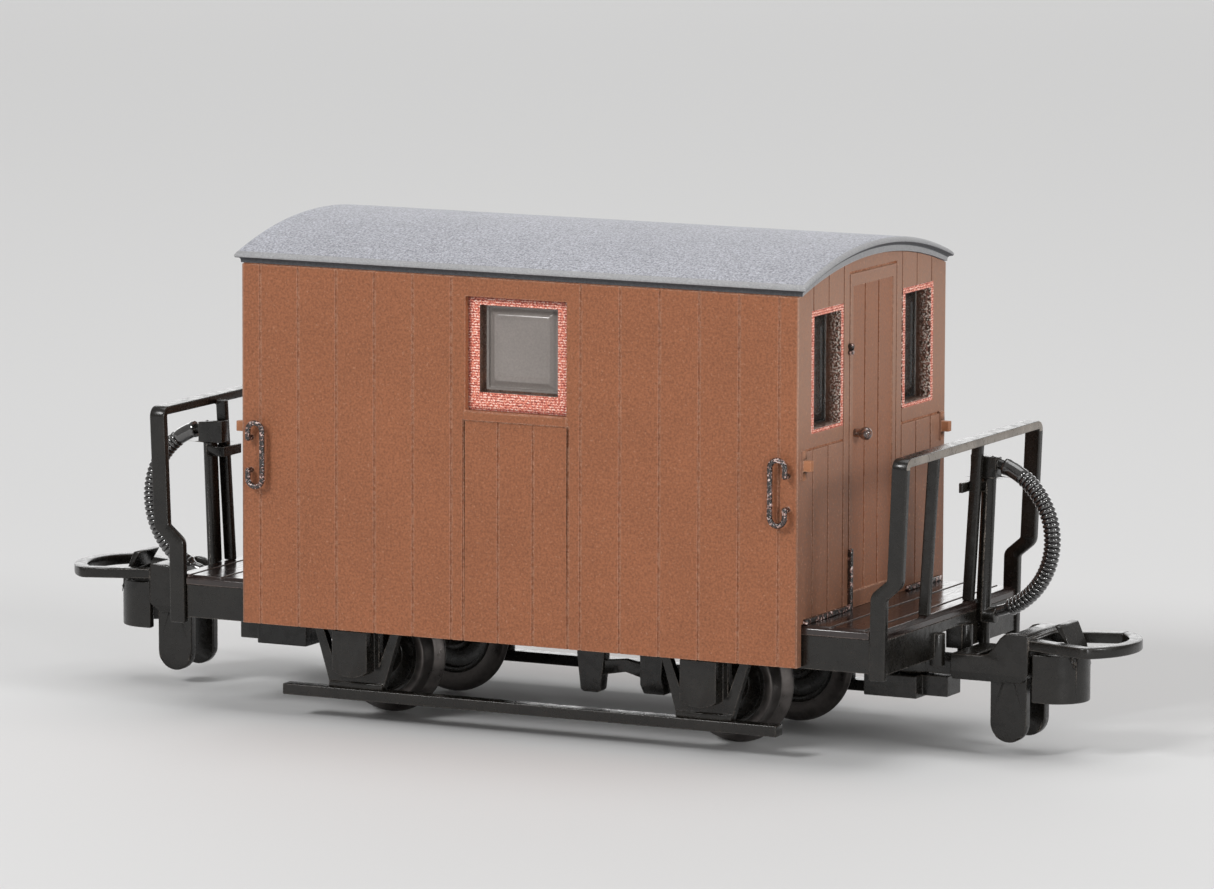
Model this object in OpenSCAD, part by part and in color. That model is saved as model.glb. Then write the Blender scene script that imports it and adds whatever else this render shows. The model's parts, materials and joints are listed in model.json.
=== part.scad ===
// Narrow-gauge model passenger coach with end platforms, 4 mm scale on 9 mm gauge track.
// X runs along the track, +X towards the right end. The near side is -Y. Z = 0 is the bottom
// of the wheel flanges. The left end is the right end turned half a turn about Z.

/* [Body] */
// Length of the planked body
body_l = 35.7; // [34:0.1:38]
// Width of the planked body
body_w = 20.2; // [19.8:0.1:21]
// Height of the bottom edge of the side planks
skirt_z = 5.65; // [5.6:0.05:5.8]
// Height of the end walls at their middle
wall_crown = 28.2; // [28.1:0.1:28.5]
// Radius of the curved top of the end walls
wall_arc_r = 35.35; // [34:0.1:37]
// Thickness of the walls
wall_t = 0.9; // [0.8:0.05:1]
// Pitch of the side planks
plank_w = 2.5; // [2.4:0.05:2.6]
// Width of the grooves between planks
groove_w = 0.13; // [0.1:0.01:0.24]
// Depth of the grooves between planks
groove_d = 0.09; // [0.06:0.01:0.2]
// Width and depth of the grooves in the end walls
end_groove = 0.15; // [0.1:0.01:0.2]

/* [Windows] */
// Width of a side window recess
side_win_w = 6.5; // [6:0.1:6.6]
// Height of a side window recess
side_win_h = 6.6; // [6:0.1:6.7]
// Height of the bottom of a side window recess
side_win_z = 19.05; // [19:0.05:19.4]
// Width of an end window recess
end_win_w = 4.3; // [4:0.05:4.4]
// Height of an end window recess
end_win_h = 7; // [6.5:0.1:7.1]
// Height of the bottom of an end window recess
end_win_z = 18.8; // [18.6:0.05:19]
// Distance of an end window's middle from the middle of the coach
end_win_y = 6.22; // [6.2:0.01:6.25]

/* [Roof] */
// Length of the roof over its rim
roof_l = 36.6; // [36.4:0.1:37]
// Width of the roof over its rim
roof_w = 20.5; // [20.4:0.1:20.8]
// Height of the roof at its middle
roof_crown = 29.08; // [29:0.02:29.3]
// Radius of the roof's curve
roof_arc_r = 32.6; // [31:0.1:34]
// Thickness of the roof's rim
rim_t = 0.4; // [0.3:0.05:0.45]

/* [Platforms] */
// Distance of the platform's outer edge from the middle of the coach
deck_x = 22.9; // [22.7:0.1:23]
// Width of the platform boards
deck_w = 18.9; // [18.7:0.1:18.95]
// Height of the platform's top
deck_z = 8.07; // [8:0.01:8.2]
// Thickness of the platform boards
deck_t = 0.57; // [0.5:0.01:0.6]
// Width over the end railing
railing_w = 19.2; // [19:0.1:19.4]
// Height of the top of the end railing
railing_z = 17.9; // [17:0.05:18.5]

/* [Running gear] */
// Distance of each axle from the middle of the coach
axle_x = 11.25; // [11:0.05:11.5]
// Radius of the wheel treads
tread_r = 3; // [2.9:0.05:3.05]
// Depth of the wheel flanges
flange_h = 0.6; // [0.5:0.05:0.6]
// Distance between the backs of the wheels on one axle
back_to_back = 7.6; // [7.5:0.05:7.7]
// Radius of the axles
axle_r = 0.75; // [0.7:0.05:0.8]
// Radius of the axle journals
journal_r = 0.45; // [0.4:0.05:0.5]
// Radial clearance of running fits
running_gap = 0.05; // [0.03:0.01:0.08]

/* [Couplings] */
// Distance of each coupling pivot from the middle of the coach
swing_x = 20.6; // [20.5:0.05:20.7]
// Distance of the coupling hook pivot from the middle of the coach
hook_x = 27.2; // [27.1:0.05:27.3]
// Height of the coupling hook pivot
hook_z = 5.3; // [5.2:0.05:5.4]
// Distance of the loop's outer tip from the middle of the coach
loop_tip_x = 34.4; // [34.4:0.1:34.8]
// Height of the loop's top face
loop_z = 6.95; // [6.9:0.05:7]

/* [Hidden] */
$fn = 48;
eps = 0.01;
cut = 5;

half_l = body_l / 2;
half_w = body_w / 2;
stile_x = 3.37;
panel_x = 4.15;
lower_plank_x = 1.12;
sill_z = 18.5;
sill_proud = 0.12;

door_w = 6.4;
door_top = 27.5;
door_panel_w = 5.5;
door_panel_top = 26.65;
door_panel_bottom = 9;
door_plank_y = 0.93;
post_y = 4;
end_planks = [6.05, 8.1];
waist_z = 17.95;

floor_t = 0.6;
floor_in_top = 8.05;
floor_out_top = deck_z - deck_t;
skirt_in_w = 2 * half_w - 1.2;
sole_y = 9.05;
sole_t = 0.6;
sole_bottom = 5.55;

frame_in_y = 7.85;
frame_t = 0.5;
box_front_y = 9.3;
axle_z = tread_r + flange_h;
footboard_top = 2;
footboard_h = 0.65;
footboard_w = 0.93;
footboard_l = 31.9;

tyre_in_r = 2.45;
tyre_w = 1.8;
hub_r = 1.1;

post_in_y = railing_w / 2 - 0.51;
bar_w = 0.97;
bar_t = 0.5;
rail_x = 24.36;
inner_post_y = 3.08;
inner_post_w = 0.65;
inner_post_t = 0.46;

pipe_x = 23.46;
pipe_lean = 2.25;
pipe_y = 3.9;
pipe_r = 0.42;
hose_r = 0.5;
hose_bend_r = 4.39;
hose_bend_x = 23.06;
hose_bend_z = 11.72;
hose_top = 72;
hose_low = 76;

arm_z0 = 4.4;
arm_z1 = 5.35;
cheek_y = 2.2;
cheek_t = 0.45;
cheek_x = 28.6;
peg_r = 0.8;
screw_r = 0.38;
pin_r = 0.3;
loop_t = 0.62;
leg_w = 2.25;
leg_t = 0.6;
leg_y = 1.65;
leg_bottom = 0.85;

brown = "#9d6850";
red = "#c4605c";
black = "#2d2d2d";
grey = "#aeb1be";

// ---------- helpers ----------

// Box between two corners
module span(a, b) {
    translate(a) cube(b - a);
}

// The far side is the near side turned half a turn, and so is the left end
module half_turn() {
    rotate([0, 0, 180]) children();
}

// Prism along X under a curve of radius r whose top is at height crown
module vault(l, w, z0, crown, r) {
    intersection() {
        span([-l / 2, -w / 2, z0], [l / 2, w / 2, crown + 1]);
        translate([0, 0, crown - r]) rotate([0, 90, 0]) cylinder(h = l + 2, r = r, center = true, $fn = 96);
    }
}

// Outline in X and Z made into a plate between y0 and y1
module plate_xz(points, y0, y1) {
    translate([0, y1, 0]) rotate([90, 0, 0]) linear_extrude(y1 - y0) polygon(points);
}

// Rod along Y
module rod_y(x, z, r, y0, y1) {
    translate([x, y1, z]) rotate([90, 0, 0]) cylinder(h = y1 - y0, r = r);
}

// Points of an arc, from angle a0 to a1
function arc(cx, cy, r, a0, a1, n) = [for (i = [0:n]) let(a = a0 + (a1 - a0) * i / n)
    [cx + r * cos(a), cy + r * sin(a)]];

// Points that round the corner q, between p and n, to radius r
function bend(p, q, n, r) = let(
    a = (p - q) / norm(p - q),
    b = (n - q) / norm(n - q),
    half = acos(a * b) / 2,
    c = q + (a + b) / norm(a + b) * r / sin(half),
    from = q + a * r / tan(half) - c,
    to = q + b * r / tan(half) - c,
    a0 = atan2(from[1], from[0]))
    arc(c[0], c[1], r, a0, a0 + atan2(cross(from, to), from * to), 6);

// ---------- body ----------

// Groove of the near side at x, up to height z1
module side_groove(x, z1) {
    span([x - groove_w / 2, -half_w - cut, skirt_z - 1], [x + groove_w / 2, -half_w + groove_d, z1]);
}

// Grooves of the planked near side
module side_grooves() {
    for (s = [-1, 1], i = [0:5])
        side_groove(s * (panel_x + i * plank_w), wall_crown + 1);
    for (s = [-1, 1], x = [lower_plank_x, stile_x])
        side_groove(s * x, sill_z);
}

// Grooves of the right end wall: planks, door, door panel and waist
module end_grooves() {
    x0 = half_l - end_groove;
    g = end_groove / 2;
    panel_x0 = half_l - 0.1;
    for (s = [-1, 1]) {
        for (y = [post_y, door_w / 2])
            span([x0, s * y - g, deck_z - 1],
                 [half_l + cut, s * y + g, y == post_y ? wall_crown + 1 : door_top]);
        for (y = end_planks, z = [[deck_z - 1, waist_z], [end_win_z + 1, wall_crown + 1]])
            span([x0, s * y - g, z[0]], [half_l + cut, s * y + g, z[1]]);
        span([x0, min(s * post_y, s * 9.3), waist_z - g],
             [half_l + cut, max(s * post_y, s * 9.3), waist_z + g]);
        span([panel_x0 - end_groove, s * door_plank_y - g, door_panel_bottom],
             [half_l + cut, s * door_plank_y + g, door_panel_top]);
    }
    span([x0, -door_w / 2 - g, door_top - 2 * g], [half_l + cut, door_w / 2 + g, door_top]);
    span([panel_x0, -door_panel_w / 2, door_panel_bottom], [half_l + cut, door_panel_w / 2, door_panel_top]);
}

// Lamp iron on a corner of the right end wall
module lamp_iron(side) {
    y = side * (half_w - 0.6);
    span([half_l - eps, y - 0.25, 16.3], [half_l + 0.16, y + 0.25, 18]);
    span([half_l - eps, y - 0.22, 16.85], [half_l + 0.62, y + 0.22, 17.45]);
}

// Openings of the end windows of the right end
module end_window_openings() {
    for (s = [-1, 1])
        span([half_l - wall_t - cut, s * end_win_y - end_win_w / 2, end_win_z],
             [half_l + cut, s * end_win_y + end_win_w / 2, end_win_z + end_win_h]);
}

module body_shell() {
    color(brown) difference() {
        union() {
            difference() {
                vault(body_l, body_w, skirt_z, wall_crown, wall_arc_r);
                span([-half_l + wall_t, -half_w + wall_t, skirt_z - 1],
                     [half_l - wall_t, half_w - wall_t, wall_crown + 1]);
                span([-half_l - 1, -skirt_in_w / 2, skirt_z - 1], [half_l + 1, skirt_in_w / 2, deck_z]);
                for (a = [0, 180]) rotate([0, 0, a]) {
                    side_grooves();
                    end_grooves();
                }
            }
            for (a = [0, 180]) rotate([0, 0, a]) {
                span([-3.3, -half_w - sill_proud, sill_z], [3.3, -half_w + 0.3, side_win_z - 0.05]);
                for (s = [-1, 1]) lamp_iron(s);
            }
        }
        for (a = [0, 180]) rotate([0, 0, a]) {
            span([-side_win_w / 2, -half_w - cut, side_win_z],
                 [side_win_w / 2, -half_w + wall_t + cut, side_win_z + side_win_h]);
            end_window_openings();
        }
    }
}

module roof() {
    fascia_l = body_l + 0.24;
    fascia_w = body_w - 0.3;
    rib_y = half_w - wall_t - 0.35;
    color(grey) union() {
        difference() {
            vault(roof_l, roof_w, 26, roof_crown, roof_arc_r);
            vault(roof_l + 2, roof_w + 2, 25, roof_crown - rim_t, roof_arc_r - rim_t);
        }
        difference() {
            vault(fascia_l, fascia_w, 26, roof_crown - rim_t + 0.05, roof_arc_r - rim_t);
            vault(fascia_l + 2, fascia_w + 2, 25, wall_crown + 0.02, wall_arc_r);
        }
        for (s = [-1, 1]) span([-15, s * rib_y - 0.25, 26.1], [15, s * rib_y + 0.25, 27.3]);
    }
}

// Near window frame of the side: a thin red moulding set back in the recess
module side_window_frame() {
    y0 = -half_w + 0.4;
    y1 = -half_w + wall_t;
    color(red) difference() {
        span([-side_win_w / 2, y0, side_win_z], [side_win_w / 2, y1, side_win_z + side_win_h]);
        span([-2.5, y0 - 1, side_win_z + 1.07], [2.5, y1 + 1, side_win_z + side_win_h - 0.5]);
    }
}

module side_glazing() {
    y0 = -half_w + wall_t;
    color("lightblue", 0.5) union() {
        span([-4.6, y0, 18], [4.6, y0 + 0.6, 26]);
        span([-2.2, y0 - 0.08, side_win_z + 1.3], [2.2, y0 + eps, side_win_z + side_win_h - 0.65]);
    }
}

// Window frame of the right end, on the side given by s
module end_window_frame(s) {
    x0 = half_l - wall_t;
    x1 = half_l;
    yc = s * end_win_y;
    bar = 0.36;
    foot_bar = 0.22;
    color(red) difference() {
        span([x0, yc - end_win_w / 2, end_win_z], [x1, yc + end_win_w / 2, end_win_z + end_win_h]);
        span([x0 - 1, yc - end_win_w / 2 + bar, end_win_z + foot_bar],
             [x1 + 1, yc + end_win_w / 2 - bar, end_win_z + end_win_h - bar]);
    }
}

module end_glazing(s) {
    x1 = half_l - wall_t;
    yc = s * end_win_y;
    color("lightblue", 0.5) union() {
        span([x1 - 0.6, yc - 2.3, 18.2], [x1, yc + 2.3, 26]);
        span([x1 - eps, yc - 1.6, end_win_z + 0.35], [x1 + 0.05, yc + 1.6, end_win_z + end_win_h - 0.55]);
    }
}

// Wire handrail of the near side, on the right
module handrail() {
    wire_r = 0.16;
    bar_x = 16.31;
    bend_r = 0.465;
    y = -half_w - 0.45;
    z0 = 14.25;
    z1 = 17.05;
    color("#241c1c") union() {
        translate([bar_x, y, z0]) cylinder(h = z1 - z0, r = wire_r, $fn = 24);
        for (e = [[z1, 1, 16.6], [z0, -1, 14.7]]) {
            translate([bar_x + bend_r, y, e[0]]) rotate([90, 0, 0])
                rotate([0, 0, e[1] > 0 ? 0 : 180]) rotate_extrude(angle = 180, $fn = 48)
                    translate([bend_r, 0]) circle(r = wire_r, $fn = 24);
            translate([bar_x + 2 * bend_r, y, min(e[0], e[2])])
                cylinder(h = abs(e[0] - e[2]), r = wire_r, $fn = 24);
            translate([bar_x + 2 * bend_r, y, e[2]]) sphere(r = wire_r, $fn = 24);
            rod_y(bar_x + 2 * bend_r, e[2], wire_r, y, -half_w);
        }
    }
}

// Door knob on its stem, right end
module door_handle() {
    color("#5a3a2c") translate([half_l - 0.1, -2.25, 18.15]) rotate([0, 90, 0]) union() {
        cylinder(h = 0.65, r = 0.25, $fn = 24);
        translate([0, 0, 0.68]) sphere(r = 0.39, $fn = 32);
    }
}

// Catch of two round studs on a small plate beside the door, right end
module door_catch() {
    y = -3.32;
    color(black) union() {
        span([half_l, y - 0.1, 22.8], [half_l + 0.12, y + 0.1, 23.35]);
        for (z = [22.92, 23.25])
            translate([half_l, y, z]) rotate([0, 90, 0]) cylinder(h = 0.27, r = 0.17, $fn = 24);
    }
}

// Beading along the foot of the right end wall and up beside the door
module end_beading() {
    x1 = half_l + 0.28;
    color(black) union() {
        span([half_l, -9.35, deck_z], [x1, -3.1, deck_z + 0.3]);
        span([half_l, -3.35, deck_z], [x1, -3.1, 11.6]);
        span([half_l, 4.7, deck_z], [x1, 9.35, deck_z + 0.3]);
    }
}

// ---------- underframe ----------

// Notches in which the outer posts of the right end railing sit
module post_notches() {
    for (s = [-1, 1])
        span([deck_x - 0.88, s > 0 ? post_in_y : -half_w, 5],
             [deck_x + 1, s > 0 ? half_w : -post_in_y, deck_z + 1]);
}

// Half-round cheek beside the coupling slot of the right headstock
module slot_cheek(y) {
    translate([deck_x, y, 5.05]) cylinder(h = 1.85, r = 0.45, $fn = 32);
}

module underframe() {
    out_in = deck_x - 1;
    color(black) difference() {
        union() {
            span([-16.85, -9.35, floor_in_top - floor_t], [16.85, 9.35, floor_in_top]);
            for (s = [-1, 1])
                span([-deck_x, s * sole_y - sole_t / 2, sole_bottom],
                     [deck_x, s * sole_y + sole_t / 2, floor_out_top]);
            for (a = [0, 180]) rotate([0, 0, a]) {
                span([16, -9.35, floor_out_top - floor_t], [deck_x, 9.35, floor_out_top]);
                span([out_in, -9.35, 5.5], [deck_x, 9.35, floor_out_top]);
                for (s = [-1, 1]) slot_cheek(s * 1.95);
            }
        }
        for (a = [0, 180]) rotate([0, 0, a]) {
            span([out_in - 1, -1.45, 5], [deck_x + 0.2, 1.45, 6.85]);
            translate([swing_x, 0, floor_out_top - floor_t - 1])
                cylinder(h = 1.4, r = screw_r + 0.01, $fn = 32);
            post_notches();
        }
    }
}

// Axle guard with its axlebox, pierced for the journal, near side at x
module axle_guard(x) {
    y_out = -frame_in_y - frame_t;
    top = floor_in_top - floor_t;
    outline = [[-3.4, top], [-1.75, footboard_top], [1.75, footboard_top], [3.4, top]];
    window = [[-2.75, top - 0.6], [-1.5, 3.55], [-1.5, top - 0.6]];
    difference() {
        union() {
            difference() {
                plate_xz([for (p = outline) p + [x, 0]], y_out, -frame_in_y);
                plate_xz([for (p = window) p + [x, 0]], y_out - 1, -frame_in_y + 1);
                plate_xz([for (p = window) [x - p[0], p[1]]], y_out - 1, -frame_in_y + 1);
            }
            intersection() {
                span([x - 1.15, -box_front_y, 2], [x + 1.15, -frame_in_y - eps, sole_bottom - 0.05]);
                rod_y(x, 4.75, 2, -box_front_y - 1, 0);
            }
            span([x - 1.75, y_out - 0.2, footboard_top], [x + 1.75, -frame_in_y, footboard_top + 0.35]);
        }
        rod_y(x, axle_z, journal_r + running_gap, -frame_in_y - 1, -frame_in_y + 1);
    }
}

module side_frame() {
    top = floor_in_top - floor_t;
    color(black) union() {
        span([-15.5, -frame_in_y - frame_t, top - 0.6], [15.5, -frame_in_y, top]);
        for (s = [-1, 1]) axle_guard(s * axle_x);
    }
}

module footboard() {
    color(black) span([-footboard_l / 2, -frame_in_y - footboard_w, footboard_top - footboard_h],
                      [footboard_l / 2, -frame_in_y, footboard_top]);
}

// Hanger, link and brake block beside the right near wheel
module brake_gear() {
    top = floor_in_top - floor_t;
    color(black) union() {
        plate_xz([[1.35, top], [1.6, 4.2], [1.8, 2.55], [2, 2.4], [2.9, 2.4], [3.1, 2.55], [3.3, 4.4],
            [3.3, top]], -5.3, -4.5);
        plate_xz([[3.2, 3.45], [4.6, 3.7], [5.9, 3.35], [5.9, 4.2], [4.6, 4.45], [3.2, 4.3]], -5.1, -4.7);
        plate_xz([[5.7, top], [5.75, 3.1], [6, 2.6], [7.3, 2.6], [7.1, 3.6], [7.2, 4.8], [6.9, top]],
                 -5.5, -4.5);
    }
}

// Planked platform, right end, with a bevelled edge all round
module platform_deck() {
    x0 = half_l - wall_t - 0.05;
    z0 = deck_z - deck_t;
    bevel = 0.15;
    color("#3a2a26") difference() {
        span([x0, -deck_w / 2, z0], [deck_x, deck_w / 2, deck_z]);
        for (x = [19.65, 21.8])
            span([x - 0.09, -deck_w / 2 - 1, deck_z - 0.12], [x + 0.09, deck_w / 2 + 1, deck_z + 1]);
        for (s = [-1, 1]) translate([0, s * deck_w / 2, deck_z]) rotate([45, 0, 0])
            span([0, -bevel, -bevel], [deck_x + 5, bevel, bevel]);
        translate([deck_x, 0, deck_z]) rotate([0, 45, 0])
            span([-bevel, -deck_w, -bevel], [bevel, deck_w, bevel]);
        post_notches();
    }
}

// ---------- end railing and brake pipe ----------

// Outer post of flat bar, cranked outwards above the platform
module outer_post(side) {
    foot = [23.02, 5.2];
    low = [23.1, 9.85];
    up = [24.1, 10.7];
    top = [rail_x, railing_z - 0.6];
    in = [bar_w, 0];
    raised = [0, 0.25];
    face = railing_w / 2;
    points = concat([foot], bend(foot, low, up, 0.25), bend(low, up, top, 0.8), [top],
        [top - in], bend(top, up + raised - in, low + raised - in, 0.25),
        bend(up + raised - in, low + raised - in, foot - in, 0.7), [foot - in]);
    plate_xz(points, side > 0 ? face - bar_t : -face, side > 0 ? face : -face + bar_t);
}

// Inner post, leaning out a little to meet the top bar
module inner_post(side) {
    y = side * inner_post_y;
    top_x = 23.45;
    top_z = railing_z - 0.3;
    width = [inner_post_w, 0];
    points = [[deck_x, deck_z], [top_x, top_z], [top_x, top_z] - width, [deck_x, deck_z] - width];
    plate_xz(points, y - inner_post_t / 2, y + inner_post_t / 2);
}

module end_railing() {
    r = 0.6;
    w = railing_w / 2;
    color(black) union() {
        for (s = [-1, 1]) outer_post(s);
        for (s = [-1, 1]) inner_post(s);
        // top bar with rounded corners down into the outer posts
        translate([rail_x - bar_w, 0, 0]) rotate([90, 0, 90]) linear_extrude(bar_w) difference() {
            polygon(concat([[-w, railing_z - r - 0.02]], [[w, railing_z - r - 0.02]],
                arc(w - r, railing_z - r, r, 0, 90, 8), arc(-w + r, railing_z - r, r, 90, 180, 8)));
            polygon(concat([[-w + bar_t, railing_z - r - 1]], [[w - bar_t, railing_z - r - 1]],
                [[w - bar_t, railing_z - bar_t]], [[-w + bar_t, railing_z - bar_t]]));
        }
    }
}

module standpipe() {
    clip_x = 22.27;
    clip_z = 14.4;
    clip_h = 0.56;
    block_z = 15.2;
    foot_x = 23.24;
    elbow_z = 7.15;
    color(black) union() {
        // pipe leaning with the post, its back flat where it passes the platform
        difference() {
            translate([pipe_x, pipe_y, block_z]) rotate([0, pipe_lean, 0]) translate([0, 0, -8.4])
                cylinder(h = 8.9, r = pipe_r, $fn = 32);
            span([deck_x - 1, pipe_y - 1, 5], [deck_x + 0.02, pipe_y + 1, deck_z + 0.02]);
        }
        plate_xz([[22.45, block_z], [24.05, block_z], [24.05, 16.37], [22.45, 16.5]],
                 pipe_y - pipe_r, pipe_y + pipe_r);
        // clip that ties the pipe to the railing's inner post
        span([clip_x, 2.25, clip_z], [clip_x + 0.25, pipe_y + pipe_r, clip_z + clip_h]);
        span([clip_x, pipe_y - pipe_r, clip_z], [pipe_x, pipe_y + pipe_r, clip_z + clip_h]);
        // elbow, foot and bracket to the headstock
        translate([foot_x, pipe_y, elbow_z]) rotate([0, 90, 0]) cylinder(h = 0.75, r = 0.45, $fn = 32);
        translate([foot_x, pipe_y, 5.2]) cylinder(h = elbow_z - 5.2, r = 0.32, $fn = 32);
        span([deck_x, pipe_y - 0.3, 5.9], [foot_x, pipe_y + 0.3, 6.5]);
        // nipples that the hose is pushed on to
        translate([hose_bend_x, pipe_y, hose_bend_z]) rotate([0, -hose_top, 0])
            translate([hose_bend_r, 0, 0]) cylinder(h = 0.9, r = 0.3, $fn = 24);
        translate([hose_bend_x, pipe_y, hose_bend_z]) rotate([0, hose_low, 0])
            translate([hose_bend_r, 0, 0]) rotate([180, 0, 0]) cylinder(h = 0.9, r = 0.3, $fn = 24);
    }
}

module brake_hose() {
    color(black) translate([hose_bend_x, pipe_y, hose_bend_z]) rotate([90, 0, 0]) rotate([0, 0, -hose_low])
        rotate_extrude(angle = hose_top + hose_low, $fn = 96)
            translate([hose_bend_r, 0]) circle(r = hose_r, $fn = 32);
}

module ballast_weight() {
    color("silver") span([-15, -7.5, floor_in_top], [15, 7.5, floor_in_top + 1.8]);
}

// ---------- wheels ----------

// Axle along Y through the middle, with a journal and a point at each end
module axle() {
    shoulder = frame_in_y - 0.2;
    tip = frame_in_y + 0.75;
    color("silver") translate([axle_x, 0, axle_z]) rotate([90, 0, 0]) union() {
        cylinder(h = 2 * shoulder, r = axle_r, center = true);
        cylinder(h = 2 * (tip - 0.2), r = journal_r, center = true, $fn = 32);
        for (a = [0, 180]) rotate([a, 0, 0]) translate([0, 0, tip - 0.2])
            cylinder(h = 0.2, r1 = journal_r, r2 = 0.2, $fn = 32);
    }
}

// Turned part on the right axle, near side; its outline is radius against distance from the wheel's back
module turned(points) {
    translate([axle_x, -back_to_back / 2, axle_z]) rotate([90, 0, 0])
        rotate_extrude($fn = 96) polygon(points);
}

module wheel_tyre() {
    f = tread_r + flange_h;
    color("#8a8680") turned([[tyre_in_r, 0], [f - 0.2, 0], [f, 0.18], [f, 0.3], [f - 0.35, 0.55],
        [tread_r + 0.04, 0.68], [tread_r - 0.04, tyre_w - 0.1], [tread_r - 0.12, tyre_w],
        [tyre_in_r, tyre_w]]);
}

module wheel_centre() {
    bore_r = axle_r + 0.01;
    rim_in = tyre_in_r - 0.3;
    color(black) turned([[bore_r, 0], [hub_r, 0], [hub_r + 0.1, 0.4], [rim_in, 0.4], [rim_in, 0.1],
        [tyre_in_r, 0.1], [tyre_in_r, 1.65], [rim_in, 1.65], [rim_in - 0.1, 1.2], [hub_r + 0.1, 1.2],
        [hub_r, 1.9], [bore_r, 1.9]]);
}

// ---------- couplings ----------

// Half the plan of the coupling loop: a flank that flares out and turns a round corner
function loop_flank(p, flare, corner_r, front_r, cx) = let(
    along = [cos(flare), sin(flare)],
    start = p + corner_r * [along[1], -along[0]] - [cx, 0],
    run = sqrt(pow(start * along, 2) - start * start + pow(front_r - corner_r, 2)) - start * along,
    centre = start + run * along,
    turn = atan2(centre[1], centre[0]))
    concat([p], arc(centre[0] + cx, centre[1], corner_r, 90 + flare, turn, 6));

// Plan of the coupling loop, drawn in by inset all round: two flanks and a bowed front bar
function loop_plan(inset) = let(
    front_r = 4.3 - inset,
    cx = loop_tip_x - 4.3,
    flank = loop_flank([cheek_x - 0.6 + inset, 1.9 - 0.7 * inset], 19.5, max(0.15, 0.6 - inset), front_r, cx),
    last = flank[len(flank) - 1],
    bow = 0.88 * atan2(last[1], last[0] - cx))
    concat(flank, arc(cx, 0, front_r, bow, -bow, 14),
        [for (i = [len(flank) - 1:-1:0]) [flank[i][0], -flank[i][1]]]);

// Side of the coupling head, seen from the near side
module cheek(y0, y1) {
    plate_xz([[25, 4.55], [25.2, 4.35], [28.1, 4.35], [cheek_x, 4.9], [cheek_x, 7.25], [27.5, 7.25],
        [27.15, 7.16], [26.85, 6.9], [26.4, 6.25], [26.1, 5.97], [25.7, 5.85], [25, 5.85]], y0, y1);
}

module coupling_arm() {
    color(black) difference() {
        union() {
            translate([swing_x, 0, arm_z0]) cylinder(h = arm_z1 - arm_z0, r = 1.45);
            span([swing_x, -0.95, arm_z0], [24.5, 0.95, arm_z1]);
            span([23.8, -cheek_y, 4.35], [25.2, cheek_y, 5.85]);
            cheek(-cheek_y, -cheek_y + cheek_t);
            cheek(cheek_y - cheek_t, cheek_y);
            span([27.6, -cheek_y + eps, loop_z - loop_t], [cheek_x, cheek_y - eps, 7.25]);
            translate([0, 0, loop_z - loop_t]) linear_extrude(loop_t) difference() {
                polygon(loop_plan(0));
                polygon(loop_plan(0.78));
            }
        }
        translate([swing_x, 0, arm_z0 - 1]) cylinder(h = 3, r = peg_r + running_gap);
        // the lower edges of the head are bevelled
        for (s = [-1, 1]) translate([23, 0, 0]) rotate([90, 0, 90]) linear_extrude(6)
            polygon([[s * (cheek_y - 0.28), 4.3], [s * (cheek_y + 0.05), 4.9], [s * (cheek_y + 0.05), 4.3]]);
        rod_y(hook_x, hook_z, pin_r + 0.01, -cheek_y + 0.12, cheek_y - 0.12);
    }
}

// Hook lever: tooth, curved buffer and two hanging counterweight legs, on a pin between the cheeks
module coupling_hook() {
    nose_x = 29.5;
    nose_r = 1.9;
    z0 = 3.3;
    z1 = 6.1;
    color(black) difference() {
        union() {
            rod_y(hook_x, hook_z, 0.85, -leg_y, leg_y);
            for (s = [-1, 1]) {
                y0 = s > 0 ? leg_y - leg_t : -leg_y;
                span([hook_x - leg_w / 2, y0, leg_bottom + leg_w / 2],
                     [hook_x + leg_w / 2, y0 + leg_t, hook_z + 0.3]);
                rod_y(hook_x, leg_bottom + leg_w / 2, leg_w / 2, y0, y0 + leg_t);
            }
            span([hook_x, -leg_y + 0.1, 4.7], [nose_x, leg_y - 0.1, 5.9]);
            difference() {
                union() {
                    translate([nose_x, 0, z0]) cylinder(h = z1 - z0, r = nose_r);
                    span([28.75, -nose_r, z0], [nose_x, nose_r, z1]);
                }
                translate([nose_x, 0, z0 - 1]) cylinder(h = z1 - z0 + 0.4, r = nose_r - 0.5);
                span([28, -nose_r + 0.5, z0 - 1], [nose_x, nose_r - 0.5, z1 - 0.6]);
                span([27, -nose_r - 1, z0 - 1], [28.75, nose_r + 1, z1 + 1]);
            }
            plate_xz([[30.2, z1 - 0.5], [31.05, z1 - 0.5], [30.85, 6.4], [30.27, 7.76], [29.8, 7.76],
                [30.45, 6.7]], -1.2, 1.2);
        }
        rod_y(hook_x, hook_z, pin_r + running_gap, -leg_y - 1, leg_y + 1);
    }
}

module coupling_pin() {
    color("silver") rod_y(hook_x, hook_z, pin_r, -cheek_y + 0.15, cheek_y - 0.15);
}

// Keeper under the coupling arm, with the peg that the arm swings on
module coupling_keeper() {
    z1 = arm_z0 - 0.15;
    top = floor_out_top - floor_t;
    color(black) difference() {
        union() {
            span([18.2, -1.75, 2.95], [21.5, 1.75, z1]);
            span([21.4, -0.93, 3.05], [23.1, 0.93, z1]);
            span([18.2, -1.75, 2.95], [19, 1.75, top]);
            translate([swing_x, 0, z1 - 0.1]) cylinder(h = top - z1 + 0.1, r = peg_r);
        }
        translate([swing_x, 0, 2]) cylinder(h = 6, r = screw_r + 0.02, $fn = 32);
        translate([swing_x, 0, 2]) cylinder(h = 1.45, r = 0.84, $fn = 32);
    }
}

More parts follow.
